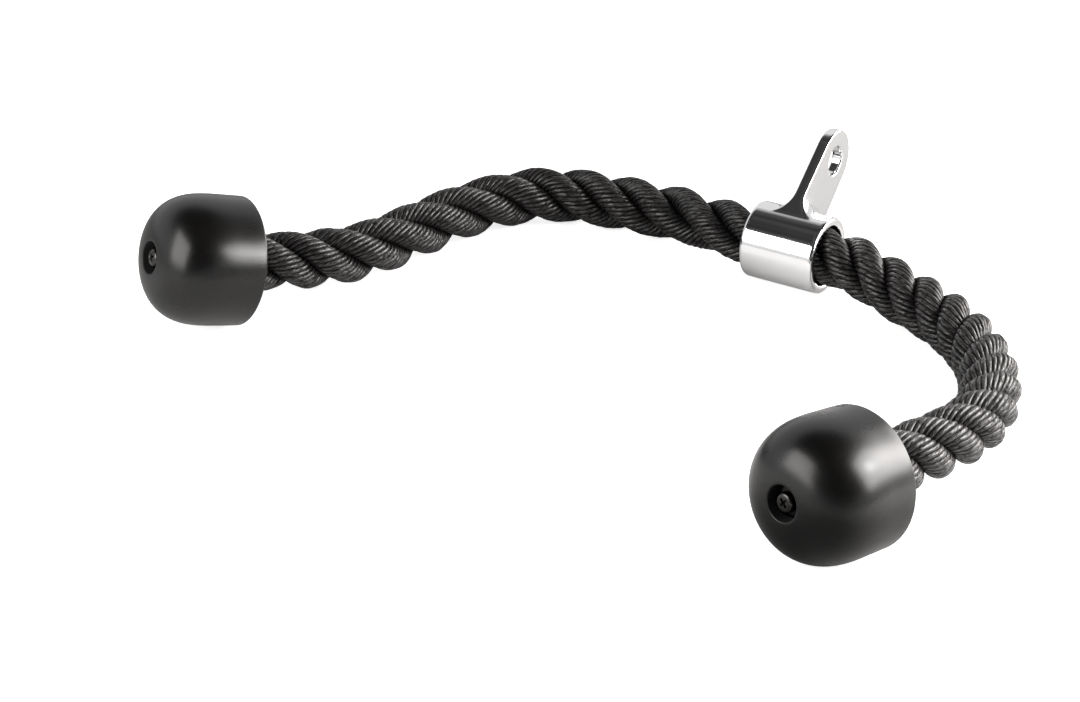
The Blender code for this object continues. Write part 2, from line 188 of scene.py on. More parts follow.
def makeYarnGroup():
    # yarns run along V of the map; U counts them round the strand
    group, start, end = newGroup(
        "yarnFibres",
        [("Map", "NodeSocketVector", None), ("Fibre Scale", "NodeSocketFloat", 1.0)],
        [("Crown", "NodeSocketFloat"), ("Fibres", "NodeSocketFloat"),
         ("Tone", "NodeSocketFloat"), ("Lumps", "NodeSocketFloat"),
         ("Height", "NodeSocketFloat")])
    split = group.nodes.new("ShaderNodeSeparateXYZ")
    group.links.new(start.outputs["Map"], split.inputs[0])
    across, along = split.outputs[0], split.outputs[1]
    part = mathNode(group, "FRACT", across)
    centred = mathNode(group, "ABSOLUTE", mathNode(group, "SUBTRACT", part, 0.5))
    crown = mathNode(group, "SUBTRACT", 1.0,
                     mathNode(group, "POWER", mathNode(group, "MULTIPLY", centred, 2.0), 2.5))
    # filaments lean a little across each yarn
    lean = mathNode(group, "ADD", mathNode(group, "MULTIPLY", across, 9.0),
                    mathNode(group, "MULTIPLY", along, 3.2))
    fine = group.nodes.new("ShaderNodeCombineXYZ")
    group.links.new(lean, fine.inputs[0])
    group.links.new(mathNode(group, "MULTIPLY", along, 0.9), fine.inputs[1])
    fibres = noiseNode(group, fine.outputs[0], start.outputs["Fibre Scale"], 4.0, 0.62)
    yarn = group.nodes.new("ShaderNodeCombineXYZ")
    group.links.new(mathNode(group, "MULTIPLY", mathNode(group, "FLOOR", across), 7.31),
                    yarn.inputs[0])
    group.links.new(mathNode(group, "MULTIPLY", along, 0.18), yarn.inputs[1])
    tone = noiseNode(group, yarn.outputs[0], 1.0, 2.0)
    # the plies of a yarn swell and turn, which breaks its gloss into short glints
    plies = group.nodes.new("ShaderNodeCombineXYZ")
    group.links.new(mathNode(group, "MULTIPLY", across, 2.3), plies.inputs[0])
    group.links.new(mathNode(group, "ADD", mathNode(group, "MULTIPLY", along, 1.9),
                             mathNode(group, "MULTIPLY", across, 0.8)), plies.inputs[1])
    lumps = noiseNode(group, plies.outputs[0], 1.0, 2.0, 0.55)
    speckle = noiseNode(group, plies.outputs[0], 2.9, 1.0, 0.5)
    lumps = mathNode(group, "ADD", mathNode(group, "MULTIPLY", lumps, 0.58),
                     mathNode(group, "MULTIPLY", speckle, 0.42))
    height = mathNode(group, "ADD", mathNode(group, "MULTIPLY", lumps, 0.8),
                      mathNode(group, "MULTIPLY", fibres, 0.25))
    height = mathNode(group, "ADD", height, mathNode(group, "MULTIPLY", crown, 0.25))
    for label, value in (("Crown", crown), ("Fibres", fibres), ("Tone", tone),
                         ("Lumps", lumps), ("Height", height)):
        group.links.new(value, end.inputs[label])
    return group


def makeWearGroup():
    # fine marks, soft blotches and dust, all from the piece's own space
    group, start, end = newGroup(
        "surfaceWear",
        [("Place", "NodeSocketVector", None), ("Blotch Scale", "NodeSocketFloat", 40.0),
         ("Grain Scale", "NodeSocketFloat", 900.0)],
        [("Blotches", "NodeSocketFloat"), ("Grain", "NodeSocketFloat"),
         ("Scuffs", "NodeSocketFloat")])
    blotches = noiseNode(group, start.outputs["Place"], start.outputs["Blotch Scale"], 3.0)
    grain = noiseNode(group, start.outputs["Place"], start.outputs["Grain Scale"], 2.0)
    stretch = group.nodes.new("ShaderNodeMapping")
    stretch.inputs["Rotation"].default_value = (0.4, 0.9, 0.3)
    stretch.inputs["Scale"].default_value = (1.0, 14.0, 3.0)
    group.links.new(start.outputs["Place"], stretch.inputs["Vector"])
    marks = noiseNode(group, stretch.outputs[0], 60.0, 5.0, 0.7)
    scuffs = rampNode(group, marks, 0.60, 0.74)
    for label, value in (("Blotches", blotches), ("Grain", grain), ("Scuffs", scuffs)):
        group.links.new(value, end.inputs[label])
    return group


yarnFibres = makeYarnGroup()
surfaceWear = makeWearGroup()


# Materials


def newMaterial(name):
    material = bpy.data.materials.new(name)
    material.use_nodes = True
    tree = material.node_tree
    return material, tree, tree.nodes["Principled BSDF"]


def useGroup(tree, group, vector, label, values=()):
    node = tree.nodes.new("ShaderNodeGroup")
    node.node_tree = group
    tree.links.new(vector, node.inputs[label])
    for name, value in values:
        node.inputs[name].default_value = value
    return node


def addBump(tree, shader, height, distance, strength):
    bump = tree.nodes.new("ShaderNodeBump")
    bump.inputs["Distance"].default_value = distance
    bump.inputs["Strength"].default_value = strength
    tree.links.new(height, bump.inputs["Height"])
    tree.links.new(bump.outputs[0], shader.inputs["Normal"])


def objectPlace(tree):
    return tree.nodes.new("ShaderNodeTexCoord").outputs["Object"]


ropeFinish = {
    "paintedGrooveShade": (0.0004, 0.0003, 0.0003),
    "yarn": (0.0052, 0.0042, 0.0038),
    "fleckAndGlint": (0.110, 0.090, 0.082),
    "roughness": (0.62, 0.32),
    "hollowDull": 0.6,
    "specular": 0.12,
    "glossLumps": (0.42, 0.55),
    "glossCrown": (0.25, 0.80),
    "coatRoughness": 0.38,
    "coatIor": 1.76,
    "bump": 0.0016,
}


def makeRopeMaterial(finish):
    material, tree, shader = newMaterial("ropeNylon")
    mapNode = tree.nodes.new("ShaderNodeUVMap")
    mapNode.uv_map = "yarnMap"
    fibre = useGroup(tree, yarnFibres, mapNode.outputs[0], "Map", (("Fibre Scale", 1.3),))
    # lighter fibre flecks, partly the fibres' own colour and partly painted glints, laid only on
    # the yarn crowns and kept out of the valleys
    flecksAndGlints = rampNode(tree, fibre.outputs["Fibres"], 0.52, 0.78)
    flecksAndGlints = mathNode(tree, "MULTIPLY", flecksAndGlints, fibre.outputs["Crown"])
    toned = mixColours(tree, fibre.outputs["Tone"], tuple(c * 0.7 for c in finish["yarn"]),
                       tuple(c * 1.5 for c in finish["yarn"]))
    # painted shade: the groove colour darkens the gaps between the yarns and the valleys between
    # the strands, where no light reaches far
    openness = layerNode(tree, "openness")
    body = mixColours(tree, mathNode(tree, "MULTIPLY", fibre.outputs["Crown"], openness),
                      finish["paintedGrooveShade"], toned)
    flecksAndGlints = mathNode(tree, "MULTIPLY", flecksAndGlints, openness)
    colour = mixColours(tree, mathNode(tree, "MULTIPLY", flecksAndGlints, 0.55), body, finish["fleckAndGlint"])
    tree.links.new(colour, shader.inputs["Base Color"])
    roughness = spreadNode(tree, fibre.outputs["Fibres"], *finish["roughness"])
    dull = mathNode(tree, "MULTIPLY", mathNode(tree, "SUBTRACT", 1.0, openness),
                    finish["hollowDull"])
    tree.links.new(mathNode(tree, "ADD", roughness, dull, clamp=True),
                   shader.inputs["Roughness"])
    shader.inputs["Specular IOR Level"].default_value = finish["specular"]
    # bare glossy spots on the yarns' crowns
    gloss = mathNode(tree, "MULTIPLY",
                     rampNode(tree, fibre.outputs["Lumps"], *finish["glossLumps"]),
                     rampNode(tree, fibre.outputs["Crown"], *finish["glossCrown"]))
    tree.links.new(mathNode(tree, "MULTIPLY", gloss, openness), shader.inputs["Coat Weight"])
    shader.inputs["Coat Roughness"].default_value = finish["coatRoughness"]
    shader.inputs["Coat IOR"].default_value = finish["coatIor"]
    addBump(tree, shader, fibre.outputs["Height"], finish["bump"], 1.0)
    return material


ballFinish = {
    "dark": (0.0014, 0.0011, 0.0010),
    "pale": (0.0028, 0.0023, 0.0021),
    "scuff": (0.045, 0.043, 0.042),
    "scuffShare": 0.10,
    "roughness": (0.235, 0.33),
    "recessDull": 0.6,
}


def makeBallMaterial(finish):
    material, tree, shader = newMaterial("ballRubber")
    wear = useGroup(tree, surfaceWear, objectPlace(tree), "Place",
                    (("Blotch Scale", 38.0), ("Grain Scale", 1500.0)))
    colour = mixColours(tree, wear.outputs["Blotches"], finish["dark"], finish["pale"])
    scuffs = mathNode(tree, "MULTIPLY", wear.outputs["Scuffs"], finish["scuffShare"])
    tree.links.new(mixColours(tree, scuffs, colour, finish["scuff"]),
                   shader.inputs["Base Color"])
    # the moulded recess is left dull
    roughness = spreadNode(tree, wear.outputs["Blotches"], *finish["roughness"])
    dull = mathNode(tree, "MULTIPLY", layerNode(tree, "recess"), finish["recessDull"])
    tree.links.new(mathNode(tree, "ADD", roughness, dull, clamp=True),
                   shader.inputs["Roughness"])
    addBump(tree, shader, wear.outputs["Grain"], 0.00004, 0.5)
    return material


chromeFinish = {
    "colours": ((0.80, 0.80, 0.81), (0.86, 0.86, 0.86)),
    "roughness": (0.035, 0.11),
}


def makeChromeMaterial(finish):
    material, tree, shader = newMaterial("polishedChrome")
    shader.inputs["Metallic"].default_value = 1.0
    wear = useGroup(tree, surfaceWear, objectPlace(tree), "Place",
                    (("Blotch Scale", 70.0), ("Grain Scale", 420.0)))
    blotches = wear.outputs["Blotches"]
    tree.links.new(mixColours(tree, blotches, *finish["colours"]), shader.inputs["Base Color"])
    tree.links.new(spreadNode(tree, blotches, *finish["roughness"]), shader.inputs["Roughness"])
    addBump(tree, shader, blotches, 0.00012, 0.35)
    return material


# the colour, the scuffs' colour and the roughness of each plain metal
metalFinish = {
    "blackenedScrew": ((0.062, 0.060, 0.058), (0.46, 0.45, 0.44), 0.15),
    "blackenedWasher": ((0.022, 0.021, 0.020), (0.16, 0.155, 0.15), 0.24),
    "crimpedAluminium": ((0.55, 0.55, 0.56), (0.74, 0.74, 0.75), 0.34),
    "turnedSteel": ((0.36, 0.36, 0.37), (0.52, 0.52, 0.52), 0.36),
}


def makeMetal(name, colour, scuff, roughness):
    material, tree, shader = newMaterial(name)
    shader.inputs["Metallic"].default_value = 1.0
    wear = useGroup(tree, surfaceWear, objectPlace(tree), "Place",
                    (("Blotch Scale", 260.0), ("Grain Scale", 2600.0)))
    grain = wear.outputs["Grain"]
    tree.links.new(mixColours(tree, wear.outputs["Scuffs"], colour, scuff),
                   shader.inputs["Base Color"])
    tree.links.new(spreadNode(tree, grain, roughness * 0.8, roughness * 1.25),
                   shader.inputs["Roughness"])
    addBump(tree, shader, grain, 0.00003, 0.6)
    return material


ropeMaterial = makeRopeMaterial(ropeFinish)
ballMaterial = makeBallMaterial(ballFinish)
chromeMaterial = makeChromeMaterial(chromeFinish)
metals = {name: makeMetal(name, *finish) for name, finish in metalFinish.items()}
print("materials made")


# The rope: its route repeats the solids' route, from each pivot
ropeShape = {
    "strands": 3,
    "radius": 0.0145,
    "strandRadius": 0.00705,
    "strandOffset": 0.00752,
    "yarns": 12,
    "pointsPerYarn": 6,
    "yarnDepth": 0.00080,
    "ridgeShare": 1.1,
    "unevenShare": 0.30,
    "pulseShare": 0.34,
    "yarnTurn": -0.027,
    "yarnWaver": 0.08,
    "ringStep": 0.00120,
    "lineSmoothing": 12,
    "turnSmoothing": 60,
    "mapStep": 0.0045,
    "crimpedShare": 0.86,
    "endInBall": 0.0024,
    "narrowReach": 0.04,
    "narrowFrom": -0.0160,
    "narrowTo": -0.0125,
    "waver": 0.00018,
    "swell": 0.02,
    "valley": 0.52,
    "valleyFade": 0.36,
    "collarMouth": 0.0205,
    "bendStarts": 0.013,
    "bendEnds": 0.048,
}

leftRoute = [
    (0.0000, 0.0000, 0.0000), (-0.0118, 0.0024, -0.0002), (-0.0238, 0.0064, -0.0014),
    (-0.0355, 0.0098, -0.0031), (-0.0473, 0.0115, -0.0044), (-0.0587, 0.0117, -0.0049),
    (-0.0703, 0.0107, -0.0050), (-0.0823, 0.0090, -0.0050), (-0.0943, 0.0069, -0.0050),
    (-0.1057, 0.0032, -0.0050), (-0.1163, -0.0022, -0.0050), (-0.1252, -0.0100, -0.0050),
    (-0.1321, -0.0198, -0.0049), (-0.1373, -0.0303, -0.0048), (-0.1416, -0.0410, -0.0047),
    (-0.1449, -0.0520, -0.0046), (-0.1473, -0.0635, -0.0043), (-0.1492, -0.0753, -0.0039),
    (-0.1506, -0.0877, -0.0033), (-0.1522, -0.1000, -0.0026), (-0.1547, -0.1120, -0.0016),
    (-0.1582, -0.1235, -0.0004), (-0.1627, -0.1346, 0.0011), (-0.1681, -0.1456, 0.0029),
    (-0.1739, -0.1569, 0.0053), (-0.1799, -0.1678, 0.0080), (-0.1855, -0.1781, 0.0111),
    (-0.1935, -0.1925, 0.0156),
]
rightRoute = [
    (0.0000, 0.0000, 0.0000), (0.0118, -0.0026, -0.0008), (0.0227, -0.0056, -0.0025),
    (0.0338, -0.0090, -0.0041), (0.0452, -0.0132, -0.0049), (0.0568, -0.0184, -0.0050),
    (0.0678, -0.0246, -0.0049), (0.0780, -0.0320, -0.0048), (0.0871, -0.0402, -0.0045),
    (0.0952, -0.0488, -0.0041), (0.1023, -0.0578, -0.0036), (0.1087, -0.0676, -0.0030),
    (0.1142, -0.0780, -0.0022), (0.1188, -0.0890, -0.0014), (0.1224, -0.1002, -0.0005),
    (0.1247, -0.1114, 0.0005), (0.1254, -0.1223, 0.0016), (0.1248, -0.1328, 0.0028),
    (0.1233, -0.1432, 0.0040), (0.1212, -0.1540, 0.0053), (0.1187, -0.1656, 0.0067),
    (0.1163, -0.1770, 0.0082), (0.1132, -0.1915, 0.0101), (0.1097, -0.2072, 0.0120),
    (0.1049, -0.2235, 0.0141),
]
# degrees that a strand has turned about the rope, by distance from the collar's middle
leftTurns = [
    (0.0, -104), (0.040, 61), (0.0745, 175), (0.102, 295), (0.1285, 414), (0.1535, 533),
    (0.181, 657), (0.2095, 781), (0.240, 902), (0.268, 1017), (0.2935, 1132), (0.316, 1250),
    (0.365, 1472),
]
rightTurns = [
    (0.0, -136), (0.0355, 57), (0.0585, 174), (0.0805, 295), (0.101, 410), (0.132, 578),
    (0.151, 687), (0.170, 791), (0.187, 896), (0.2055, 995), (0.222, 1096), (0.242, 1208),
    (0.2655, 1326), (0.328, 1668),
]
arms = {
    "left": {"route": leftRoute, "turns": leftTurns, "pivot": jointPlaces["left_bend"],
             "body": "left_arm", "way": -1},
    "right": {"route": rightRoute, "turns": rightTurns, "pivot": jointPlaces["right_bend"],
              "body": "right_arm", "way": 1},
}
for arm in arms.values():
    arm["points"] = [arm["pivot"] + Vector(point) for point in arm["route"]]
    arm["axis"] = (arm["points"][-1] - arm["points"][-2]).normalized()
    arm["ball"] = arm["points"][-1]


def curvePoint(points, i, t):
    before, a = points[max(i - 1, 0)], points[i]
    b, after = points[i + 1], points[min(i + 2, len(points) - 1)]
    leave, arrive = (b - before) / 2, (after - a) / 2
    return (a * (2 * t ** 3 - 3 * t ** 2 + 1) + leave * (t ** 3 - 2 * t ** 2 + t)
            + b * (3 * t ** 2 - 2 * t ** 3) + arrive * (t ** 3 - t ** 2))


def lengthsAlong(line):
    lengths = [0.0]
    for a, b in zip(line, line[1:]):
        lengths.append(lengths[-1] + (b - a).length)
    return lengths


def smoothed(values, rounds):
    for turn in range(rounds):
        inner = [(a + b * 2 + c) / 4 for a, b, c in zip(values, values[1:], values[2:])]
        values = [values[0]] + inner + [values[-1]]
    return values


def directionAt(points, i):
    return (points[min(i + 1, len(points) - 1)] - points[max(i - 1, 0)]).normalized()


def evenPoints(line, step):
    # the same line with points a step apart
    lengths = lengthsAlong(line)
    count = max(2, round(lengths[-1] / step))
    out, i = [], 0
    for k in range(count + 1):
        want = lengths[-1] * k / count
        while i < len(line) - 2 and lengths[i + 1] < want:
            i += 1
        share = (want - lengths[i]) / max(lengths[i + 1] - lengths[i], 1e-9)
        out.append(line[i].lerp(line[i + 1], min(max(share, 0.0), 1.0)))
    return out


def ropeLine(arm, shape):
    # from the collar's middle to the rope's end in the ball
    points = arm["points"]
    line = [collarCentre.lerp(points[0], k / 12) for k in range(12)]
    for i in range(len(points) - 1):
        line += [curvePoint(points, i, k / 8) for k in range(8)]
    end = arm["ball"] + arm["axis"] * shape["endInBall"]
    line += [points[-1], end]
    return smoothed(evenPoints(line, shape["ringStep"]), shape["lineSmoothing"])


def carriedFrames(line):
    # a frame that turns with the line and never twists about it
    frames = []
    side = Vector((0, 1, 0))
    for i in range(len(line)):
        ahead = directionAt(line, i)
        side = (side - ahead * side.dot(ahead)).normalized()
        frames.append((ahead, side, ahead.cross(side)))
    return frames


def strandTurns(lengths, turns, rounds):
    # radians turned at each length, without corners at the table's entries
    angles, i = [], 0
    for length in lengths:
        while i < len(turns) - 2 and turns[i + 1][0] < length:
            i += 1
        (low, first), (high, last) = turns[i], turns[i + 1]
        angles.append(math.radians(first + (last - first) * (length - low) / (high - low)))
    return smoothed(angles, rounds)


def narrowing(spot, arm, shape):
    # the ferrule squeezes the rope in the ball
    apart = spot - arm["ball"]
    if apart.length >= shape["narrowReach"]:
        return 1.0
    share = ((apart.dot(arm["axis"]) - shape["narrowFrom"])
             / (shape["narrowTo"] - shape["narrowFrom"]))
    share = min(max(share, 0.0), 1.0)
    return 1 - (1 - shape["crimpedShare"]) * share * share * (3 - 2 * share)


def strandRings(arm, shape, strand, line, frames):
    # a matrix for each ring of one strand: its middle, and axes that follow the yarns
    lengths = lengthsAlong(line)
    angles = strandTurns(lengths, arm["turns"], shape["turnSmoothing"])
    middles, outs, squeezes = [], [], []
    for spot, length, angle, (ahead, side, over) in zip(line, lengths, angles, frames):
        turn = angle + math.tau * arm["way"] * strand / shape["strands"]
        out = side * math.cos(turn) + over * math.sin(turn)
        squeeze = narrowing(spot, arm, shape)
        waver = shape["waver"] * noise.noise(Vector((length * 55, strand * 9.7, arm["way"] * 4)))
        middles.append(spot + out * (shape["strandOffset"] * squeeze + waver))
        outs.append(out)
        squeezes.append(squeeze)
    rings = []
    for i, (spot, out, squeeze, run) in enumerate(zip(middles, outs, squeezes,
                                                      lengthsAlong(middles))):
        ahead = directionAt(middles, i)
        out = (out - ahead * out.dot(ahead)).normalized()
        over = ahead.cross(out)
        turn = math.tau * run / shape["yarnTurn"]
        first = out * math.cos(turn) + over * math.sin(turn)
        second = ahead.cross(first)
        uneven = noise.noise(Vector((run * 40, strand * 5.3, 2.0)))
        swell = squeeze * (1 + shape["swell"] * uneven)
        matrix = Matrix((first * swell, second * swell, ahead)).transposed().to_4x4()
        matrix.translation = spot
        rings.append((matrix, run))
    return rings


def yarnRadius(shape, strand, point, run):
    # a rounded ridge for each yarn, never quite the same height along it
    across = (point % shape["pointsPerYarn"]) / shape["pointsPerYarn"] * 2 - 1
    yarn = point // shape["pointsPerYarn"]
    ridge = math.sqrt(max(0.0, 1 - across * across)) - 1
    uneven = noise.noise(Vector((yarn * 3.7, strand * 6.1, run * 60)))
    pulse = noise.noise(Vector((yarn * 7.9 + run * 290, yarn * 2.3, strand * 4.7)))
    return shape["strandRadius"] + shape["yarnDepth"] * (
        ridge * shape["ridgeShare"] + uneven * shape["unevenShare"]
        + pulse * shape["pulseShare"] * (1 - across * across))


def addStrand(bm, arm, shape, strand, line, frames, mapLayer, openLayer):
    # a grid rolled up into a tube: its columns go round the strand, its rows along it
    rings = strandRings(arm, shape, strand, line, frames)
    count = shape["yarns"] * shape["pointsPerYarn"]
    verts = bmesh.ops.create_grid(bm, x_segments=count, y_segments=len(rings) - 1,
                                  size=1.0)["verts"]
    spots = {}
    for i, vert in enumerate(verts):
        row, column = divmod(i, count + 1)
        matrix, run = rings[row]
        angle = math.tau * column / count
        radius = yarnRadius(shape, strand, column % count, run)
        turned = angle + shape["yarnWaver"] * noise.noise(
            Vector((math.cos(angle) * 2.6, math.sin(angle) * 2.6, run * 130 + strand * 9)))
        vert.co = matrix @ Vector((radius * math.cos(turned), radius * math.sin(turned), 0))
        far = (vert.co - line[row]).length / shape["radius"]
        vert[openLayer] = min(max((far - shape["valley"]) / shape["valleyFade"], 0.0), 1.0)
        spots[vert] = (column / shape["pointsPerYarn"] + strand * 40, run / shape["mapStep"])
    for face in {face for vert in verts for face in vert.link_faces}:
        for loop in face.loops:
            loop[mapLayer].uv = spots[loop.vert]
    seam = [vert for i, vert in enumerate(verts) if i % (count + 1) in (0, count)]
    bmesh.ops.remove_doubles(bm, verts=seam, dist=1e-7)


def makeRope(side, shape):
    arm = arms[side]
    line = ropeLine(arm, shape)
    frames = carriedFrames(line)
    bm = bmesh.new()
    mapLayer = bm.loops.layers.uv.new("yarnMap")
    openLayer = bm.verts.layers.float.new("openness")
    for strand in range(shape["strands"]):
        addStrand(bm, arm, shape, strand, line, frames, mapLayer, openLayer)
    bmesh.ops.holes_fill(bm, edges=[edge for edge in bm.edges if edge.is_boundary], sides=0)
    bmesh.ops.recalc_face_normals(bm, faces=bm.faces)
    piece = addPiece(f"laidRope_{side}", bm, None, ropeMaterial)
    nodes = [f"rope_{side}"] + (["rope_middle"] if side == "left" else [])
    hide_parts(*nodes)
    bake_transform(piece)


for side in arms:
    makeRope(side, ropeShape)


# Profiles are (along the axis, radius)


def arcOf(centre, radius, first, last, steps):
    points = []
    for k in range(steps + 1):
        angle = math.radians(first + (last - first) * k / steps)
        points.append((centre[0] + radius * math.cos(angle),
                       centre[1] + radius * math.sin(angle)))
    return points


def spinProfile(profile, steps, closed=True):
    bm = bmesh.new()
    verts = [bm.verts.new((along, 0, radius)) for along, radius in profile]
    edges = [bm.edges.new(pair) for pair in zip(verts, verts[1:])]
    if closed:
        edges.append(bm.edges.new((verts[-1], verts[0])))
    bmesh.ops.spin(bm, geom=verts + edges, cent=(0, 0, 0), axis=(1, 0, 0), angle=math.tau,
                   steps=steps, use_merge=True)
    bmesh.ops.remove_doubles(bm, verts=bm.verts, dist=1e-6)
    bmesh.ops.recalc_face_normals(bm, faces=bm.faces)
    return bm


def ballPlace(arm):
    turn = Vector((1, 0, 0)).rotation_difference(arm["axis"]).to_matrix().to_4x4()
    return Matrix.Translation(arm["ball"]) @ turn


def placeMesh(bm, matrix):
    bmesh.ops.transform(bm, matrix=matrix, verts=bm.verts)
    return bm


ballShape = {
    "radius": 0.0323,
    "domeLength": 0.0310,
    "domeFullness": 2.75,
    "skirtLength": 0.0171,
    "skirtTaper": 0.0004,
    "rimRound": 0.0012,
    "recessRadius": 0.0080,
    "recessDepth": 0.0060,
    "recessRound": 0.0005,
    "recessMargin": 0.0001,
    "socketRadius": 0.0148,
    "floor": 0.0170,
    "hole": 0.0027,
    "steps": 144,
}


def ballProfile(shape):
    edge = shape["recessRound"]
    lip = shape["recessRadius"] + edge
    power = 2 / shape["domeFullness"]
    first = math.asin((lip / shape["radius"]) ** (1 / power))
    dome = []
    for k in range(49):
        angle = first + (math.pi / 2 - first) * k / 48
        dome.append((shape["domeLength"] * max(math.cos(angle), 0) ** power,
                     shape["radius"] * math.sin(angle) ** power))
    back = -shape["skirtLength"]
    rimRound = shape["rimRound"]
    rim = shape["radius"] - shape["skirtTaper"] - rimRound
    skirt = [(back * k / 6, shape["radius"] - shape["skirtTaper"] * k / 6) for k in range(1, 5)]
    recessFloor = shape["domeLength"] - shape["recessDepth"]
    socket = shape["socketRadius"]
    return (arcOf((dome[0][0] - edge, lip), edge, 270, 360, 5)[:-1] + dome + skirt
            + arcOf((back + rimRound, rim), rimRound, 90, 180, 8)
            + arcOf((back + edge, socket + edge), edge, 180, 270, 4)
            + [(shape["floor"], socket), (shape["floor"], shape["hole"]),
               (recessFloor, shape["hole"])]
            + arcOf((recessFloor + edge, shape["recessRadius"] - edge), edge, 180, 90, 4))


def makeBall(side, shape):
    bm = spinProfile(ballProfile(shape), shape["steps"])
    recess = bm.verts.layers.float.new("recess")
    for vert in bm.verts:
        near = math.hypot(vert.co.y, vert.co.z) < shape["recessRadius"] + shape["recessMargin"]
        vert[recess] = 1.0 if near and vert.co.x > shape["floor"] else 0.0
    placeMesh(bm, ballPlace(arms[side]))
    piece = addPiece(f"rubberBall_{side}", bm, arms[side]["body"], ballMaterial)
    piece.data.set_sharp_from_angle(angle=math.radians(50))
    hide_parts(f"end_ball_{side}")


screwShape = {
    "seat": 0.0268,
    "headRadius": 0.0046,
    "headHeight": 0.0030,
    "shankRadius": 0.0024,
    "length": 0.0215,
    "point": 0.0030,
    "crownShare": 0.55,
    "flatShare": 0.35,
    "flatRise": 0.00005,
    "threadTurns": 14,
    "threadStart": 0.001,
    "threadRoot": 0.86,
    "crossWidth": 0.0013,
    "crossSpan": 0.0052,
    "crossDepth": 0.0018,
    "crossOver": 0.0006,
    "crossTop": (1.06, 1.04),
    "crossBottom": (0.38, 0.72),
    "turn": {"left": 18.0, "right": 40.0},
}


def applyModifiers(piece):
    bpy.context.view_layer.update()
    graph = bpy.context.evaluated_depsgraph_get()
    mesh = bpy.data.meshes.new_from_object(piece.evaluated_get(graph))
    piece.modifiers.clear()
    old = piece.data
    piece.data = mesh
    bpy.data.meshes.remove(old)


def takeMesh(obj):
    # the object's mesh for further work, and the object gone
    bm = bmesh.new()
    bm.from_mesh(obj.data)
    bpy.data.objects.remove(obj, do_unlink=True)
    return bm


def cutWith(obj, cutters, operation="DIFFERENCE"):
    for cutter in cutters:
        modifier = obj.modifiers.new(cutter.name, "BOOLEAN")
        modifier.operation = operation
        modifier.solver = "EXACT"
        modifier.object = cutter
    applyModifiers(obj)
    for cutter in cutters:
        bpy.data.objects.remove(cutter, do_unlink=True)


def crossCutter(shape, number):
    # one tapered wing of the driver recess
    bm = bmesh.new()
    bmesh.ops.create_cube(bm, size=1.0)
    top = shape["seat"] + shape["headHeight"]
    for vert in bm.verts:
        deep = vert.co.x < 0
        span, width = shape["crossBottom"] if deep else shape["crossTop"]
        vert.co = Vector((top - shape["crossDepth"] if deep else top + shape["crossOver"],
                          vert.co.y * (shape["crossSpan"] * span),
                          vert.co.z * (shape["crossWidth"] * width)))
    bmesh.ops.rotate(bm, verts=bm.verts, cent=(0, 0, 0),
                     matrix=Matrix.Rotation(math.radians(90 * number), 3, "X"))
    bmesh.ops.recalc_face_normals(bm, faces=bm.faces)
    return looseObject(f"cross{number}", bm)


def threadedShank(shape):
    # coarse thread turns along the shank
    tip = shape["seat"] - shape["length"]
    crest, root = shape["shankRadius"], shape["shankRadius"] * shape["threadRoot"]
    profile = [(shape["seat"], crest)]
    run = (shape["length"] - shape["point"] - shape["threadStart"]) / shape["threadTurns"]
    for k in range(shape["threadTurns"]):
        at = shape["seat"] - shape["threadStart"] - run * k
        profile += [(at, root), (at - run / 2, crest)]
    return profile + [(tip + shape["point"], root), (tip, crest * shape["flatShare"]), (tip, 0)]


def makeScrew(side, shape):
    top = shape["seat"] + shape["headHeight"]
    crown = shape["headHeight"] * shape["crownShare"]
    profile = [(top, 0), (top - shape["flatRise"], shape["headRadius"] * shape["flatShare"])]
    profile += arcOf((top - crown, shape["headRadius"] - crown), crown, 0, 90, 9)[1:]
    profile += [(shape["seat"], shape["headRadius"])] + threadedShank(shape)
    head = looseObject(f"panScrew_{side}", spinProfile(profile, 64, closed=False))
    cutWith(head, [crossCutter(shape, 0), crossCutter(shape, 1)])
    bm = takeMesh(head)
    turn = Matrix.Rotation(math.radians(shape["turn"][side]), 4, "X")
    placeMesh(bm, ballPlace(arms[side]) @ turn)
    piece = addPiece(f"panScrew_{side}", bm, arms[side]["body"],
                     metals["blackenedScrew"])
    piece.data.set_sharp_from_angle(angle=math.radians(32))
    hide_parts(f"end_screw_{side}")


washerShape = {"low": 0.0253, "high": 0.0265, "hole": 0.0027, "radius": 0.0070, "edge": 0.0003}


def makeWasher(side, shape):
    edge = shape["edge"]
    profile = (arcOf((shape["high"] - edge, shape["radius"] - edge), edge, 90, 0, 3)
               + [(shape["high"], shape["hole"]), (shape["low"], shape["hole"]),
                  (shape["low"], shape["radius"])])
    bm = placeMesh(spinProfile(profile, 72), ballPlace(arms[side]))
    piece = addPiece(f"screwWasher_{side}", bm, arms[side]["body"],
                     metals["blackenedWasher"])
    piece.data.set_sharp_from_angle(angle=math.radians(40))
    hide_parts(f"end_washer_{side}")


for side in arms:
    makeBall(side, ballShape)
    makeScrew(side, screwShape)
    makeWasher(side, washerShape)
    # the ferrule and the plug inside stay the solids themselves
    for name, metal in (("rope_ferrule", "crimpedAluminium"), ("rope_plug", "turnedSteel")):
        node = frame["nodes"][f"{name}_{side}"]
        node.data.materials.clear()
        node.data.materials.append(metals[metal])
print("ends made")


# The collar and its eye tab, one polished casting
castingShape = {
    "length": 0.0410,
    "boreRadius": 0.0154,
    "radius": 0.0197,
    "outerRound": 0.0018,
    "innerRound": 0.0014,
    "lean": 50.0,
    "eyeDistance": 0.0516,
    "eyeRadius": 0.0076,
    "endRadius": 0.0160,
    "thickness": 0.0060,
    "edgeRound": 0.0005,
    "footFillet": 0.0085,
    "eyeRound": 0.0006,
    "eyeOver": 0.001,
    "voxel": 0.00048,
    "smoothing": 4,
}


